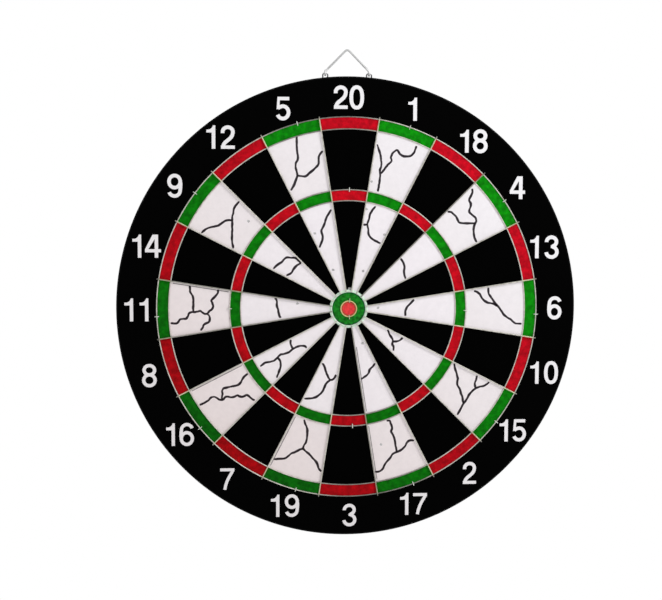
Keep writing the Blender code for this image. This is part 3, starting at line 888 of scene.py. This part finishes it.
def build_cracks():
    """The cracks, the specks and the smudge, each kind as one piece."""
    bm = bmesh.new()
    for points in CRACKS:
        add_crack(bm, points, CRACK_WIDTH)
    make_piece("bed_cracks", bm, "crack")
    bm = bmesh.new()
    for x, z in SPECKS:
        add_blot(bm, x, z, SPECK_SIZE)
    make_piece("bed_specks", bm, "smudge")
    bm = bmesh.new()
    add_blot(bm, *SMUDGE, SMUDGE_SIZE)
    make_piece("bull_smudge", bm, "smudge")


# ---------------- the wire spider

def build_rings():
    """The six ring wires, which lie on the printed face."""
    rings = (
        ("double_outer", DOUBLE_OUTER, 220),
        ("double_inner", DOUBLE_INNER, 220),
        ("treble_outer", TREBLE_OUTER, 160),
        ("treble_inner", TREBLE_INNER, 160),
        ("bull_outer", BULL_OUTER, 96),
        ("bull_inner", BULL_INNER, 72),
    )
    size = RING_WIRE / 2
    turns = full_turn(WIRE_SIDES)
    for ring, radius, segments in rings:
        section = [(radius + size * math.cos(turn), RING_Y + size * math.sin(turn)) for turn in turns]
        make_wire(f"wire_{ring}", turned(section, segments), ring)


def build_spokes():
    """Straight wires that swell a little where each one is welded to a ring."""
    welds = (BULL_OUTER, TREBLE_INNER, TREBLE_OUTER, DOUBLE_INNER, DOUBLE_OUTER)
    for number in range(1, SECTORS + 1):
        node = f"spoke_{number:02d}"
        angle = 2 * math.pi * (number - 0.5) / SECTORS
        low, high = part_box(node)
        middle = (low + high) / 2
        length = math.hypot(high.x - low.x, high.z - low.z)
        reach = math.hypot(middle.x, middle.z)
        half = length / 2 - SPOKE_WIRE * SPOKE_END
        start, end = reach - half, reach + half
        radii = {start, end}
        for weld in welds:
            for step in range(-WELD_POINTS, WELD_POINTS + 1):
                place = weld + step * WELD_STEP
                if start + WELD_MARGIN < place < end - WELD_MARGIN:
                    radii.add(place)
        line = [on_face(radius, angle, SPOKE_Y) for radius in sorted(radii)]
        path, sizes = domed(line, SPOKE_WIRE)
        for i, point in enumerate(path):
            away = min(abs(math.hypot(point.x, point.z) - weld) for weld in welds)
            sizes[i] *= 1 + WELD_SWELL * math.exp(-((away / WELD_WIDTH) ** 2))
        # painted shade on some spokes
        look = "shaded_spoke" if number in SHADED_SPOKES else "spoke"
        make_wire(node, swept(path, sizes, WIRE_SIDES), look)


def build_staples():
    """Each staple straddles its ring wire where the frame has it."""
    half = STAPLE_SPAN / 2
    for node in sorted(name for name in frame["nodes"] if name.startswith("staple_")):
        low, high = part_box(node)
        middle = (low + high) / 2
        radius = math.hypot(middle.x, middle.z)
        angle = math.atan2(middle.x, middle.z)
        corners = [
            on_face(radius + side * half, angle, y)
            for side, y in ((-1, FACE_BACK), (-1, STAPLE_Y), (1, STAPLE_Y), (1, FACE_BACK))
        ]
        path = filleted(corners, (STAPLE_CORNER, STAPLE_CORNER), STAPLE_BEND_STEPS)
        bm = swept(path, [STAPLE_WIRE / 2] * len(path), STAPLE_SIDES)
        make_wire(node, bm, "bull_staple" if "bull" in node else "staple")


# ---------------- edge, back and hanger

def build_edge_band():
    """The black tape round the edge, with both of its outer rims rounded."""
    low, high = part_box("edge_band")
    inside = FACE_RADIUS + BAND_CLEARANCE
    rim = BOARD_RADIUS - BAND_LIP
    turns = [math.radians(90 * step / BAND_LIP_STEPS) for step in range(BAND_LIP_STEPS + 1)]
    outline = [(inside, high.y), (inside, low.y)]
    for turn in turns:
        outline.append((rim + BAND_LIP * math.sin(turn), low.y + BAND_LIP * (1 - math.cos(turn))))
    for turn in turns:
        outline.append((rim + BAND_LIP * math.cos(turn), high.y - BAND_LIP * (1 - math.sin(turn))))
    band = turned(outline, BAND_SEGMENTS)
    make_piece("edge_band_tape", band, "tape", nodes=("edge_band",), sharp=BAND_SHARP)


def build_back():
    low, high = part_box("back_sheet")
    back = chamfered_disc(high.x, high.y, low.y, BACK_CHAMFER, DISC_SEGMENTS)
    make_piece("back_sheet_card", back, "back", nodes=("back_sheet",))


def build_eyes():
    """Two wire arches, whose crowns are on the hinge's axis."""
    for node in ("hanger_eye_left", "hanger_eye_right"):
        low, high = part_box(node)
        half = (high.x - low.x - EYE_WIRE) / 2
        middle = (low + high) / 2
        corners = [
            Vector((middle.x + side * half, HINGE.y, z))
            for side, z in ((-1, low.z), (-1, HINGE.z), (1, HINGE.z), (1, low.z))
        ]
        bend = half * EYE_ROUNDING
        path, sizes = domed(filleted(corners, (bend, bend), BEND_STEPS), EYE_WIRE)
        make_wire(node, swept(path, sizes, EYE_SIDES), "eye")


def build_hanger():
    """One wire: a hook round each eye's crown, and two legs that meet in a bend at the top."""
    low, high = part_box("hanger_wire")
    middle = (low.x + high.x) / 2
    span = (high.x - low.x - HANGER_WIRE) / 2
    left, right = middle - span, middle + span
    hook = HINGE.y - low.y - HANGER_WIRE / 2
    neck = HINGE.z + HANGER_NECK_RISE
    front = HINGE.y - hook
    # The legs meet above the bend, by as much as the bend cuts their corner off.
    rise = high.z - HANGER_WIRE / 2 - neck
    slope = math.atan2(rise, span)
    apex = high.z - HANGER_WIRE / 2 + HANGER_BENDS[1] * (1 / math.cos(slope) - 1)
    corners = [
        Vector((left, front, HINGE.z)), Vector((left, front, neck)), Vector((middle, front, apex)),
        Vector((right, front, neck)), Vector((right, front, HINGE.z)),
    ]
    bail = filleted(corners, HANGER_BENDS, BEND_STEPS)
    turns = [math.radians(HANGER_HOOK_ANGLE) * step / HOOK_STEPS for step in range(1, HOOK_STEPS + 1)]
    hooks = [
        [Vector((x, HINGE.y - hook * math.cos(turn), HINGE.z - hook * math.sin(turn))) for turn in turns]
        for x in (left, right)
    ]
    path, sizes = domed(hooks[0][::-1] + bail + hooks[1], HANGER_WIRE)
    make_wire("hanger_wire", swept(path, sizes, HANGER_SIDES), "hanger", body="hanger")


# ---------------- floor, light and camera

FLOOR_RADIUS = 14
FLOOR_SEGMENTS = 96
FLOOR_HEIGHT = -0.62
FLOOR_GREY = 0.93
FLOOR_FADE = (0.35, 0.95)  # from its middle, where the floor starts to turn white and ends
WORLD_LIGHT = 0.50
KEY_LIGHT = ((0.9, -1.05, 0.95), 0.8, 13)  # place, size and power
BACK_LIGHT = ((0.6, 2.4, 1.4), 1.4, 22)


def show_mixed(tree, output, factor, first, second):
    """Send a mix of two shaders to a tree's output."""
    surface = wired(tree, "MixShader", "Shader", {"Fac": factor, 1: first, 2: second})
    tree.links.new(surface, tree.nodes[output].inputs["Surface"])


def build_floor():
    """A pale disc that fades to white away from the board."""
    bm = bmesh.new()
    bmesh.ops.create_circle(bm, cap_ends=True, segments=FLOOR_SEGMENTS, radius=FLOOR_RADIUS)
    mesh = bpy.data.meshes.new("floor")
    bm.to_mesh(mesh)
    bm.free()
    floor = bpy.data.objects.new("floor", mesh)
    floor.location.z = FLOOR_HEIGHT
    bpy.context.scene.collection.objects.link(floor)
    material, tree, shader = new_material("pale_floor")
    shader.inputs["Base Color"].default_value = (FLOOR_GREY, FLOOR_GREY, FLOOR_GREY, 1)
    shader.inputs["Roughness"].default_value = 0.9
    shader.inputs["Specular IOR Level"].default_value = 0.1
    light_fade = spread_between(tree, from_middle(tree), *FLOOR_FADE)
    glow = wired(tree, "Emission", "Emission", {})
    show_mixed(tree, "Material Output", light_fade, shader.outputs["BSDF"], glow)
    mesh.materials.append(material)


def add_light(name, place, size, power):
    """A round soft light that points at the middle of the board."""
    data = bpy.data.lights.new(name, "AREA")
    data.shape = "DISK"
    data.size = size
    data.energy = power
    light = bpy.data.objects.new(name, data)
    light.location = place
    light.rotation_mode = "QUATERNION"
    light.rotation_quaternion = Vector(place).to_track_quat("Z", "Y")
    bpy.context.scene.collection.objects.link(light)


def build_world():
    """White to the camera and a softer white as light."""
    world = bpy.data.worlds.new("studio")
    bpy.context.scene.world = world
    world.use_nodes = True
    tree = world.node_tree
    light = tree.nodes["Background"]
    light.inputs["Color"].default_value = (1, 1, 1, 1)
    light.inputs["Strength"].default_value = WORLD_LIGHT
    seen = wired(tree, "Background", "Background", {"Color": (1, 1, 1, 1)})
    ray = wired(tree, "LightPath", "Is Camera Ray", {})
    show_mixed(tree, "World Output", ray, light.outputs["Background"], seen)


CAMERA_AZIMUTH = -4.66  # angles in degrees, from straight in front of the face
CAMERA_ELEVATION = 4.42
CAMERA_DISTANCE = 1.0497
CAMERA_LENS = 63.8  # in millimetres
CAMERA_ROLL = 0.2
CAMERA_SHIFT = (-0.0267, 0.0132)


def build_camera():
    azimuth, elevation = math.radians(CAMERA_AZIMUTH), math.radians(CAMERA_ELEVATION)
    level = math.cos(elevation)
    back = Vector((math.sin(azimuth) * level, -math.cos(azimuth) * level, math.sin(elevation)))
    data = bpy.data.cameras.new("camera")
    data.lens = CAMERA_LENS
    data.shift_x, data.shift_y = CAMERA_SHIFT
    camera = bpy.data.objects.new("camera", data)
    camera.location = Vector((0, FACE_FRONT, 0)) + back * CAMERA_DISTANCE
    camera.rotation_mode = "QUATERNION"
    roll = Quaternion((0, 0, 1), math.radians(CAMERA_ROLL))
    camera.rotation_quaternion = back.to_track_quat("Z", "Y") @ roll
    bpy.context.scene.collection.objects.link(camera)
    bpy.context.scene.camera = camera


build_face()
build_bull()
build_border_lines()
build_numbers()
build_cracks()
build_rings()
build_spokes()
build_staples()
build_edge_band()
build_back()
build_eyes()
build_hanger()
for carried, look in (("core_board", "fibreboard"), ("steel_sheet", "steel_sheet")):
    frame["nodes"][carried].data.materials.clear()
    frame["nodes"][carried].data.materials.append(MATERIALS[look])
build_floor()
build_world()
add_light("key", *KEY_LIGHT)
add_light("back_light", *BACK_LIGHT)
build_camera()
bpy.context.scene.view_settings.view_transform = "Standard"
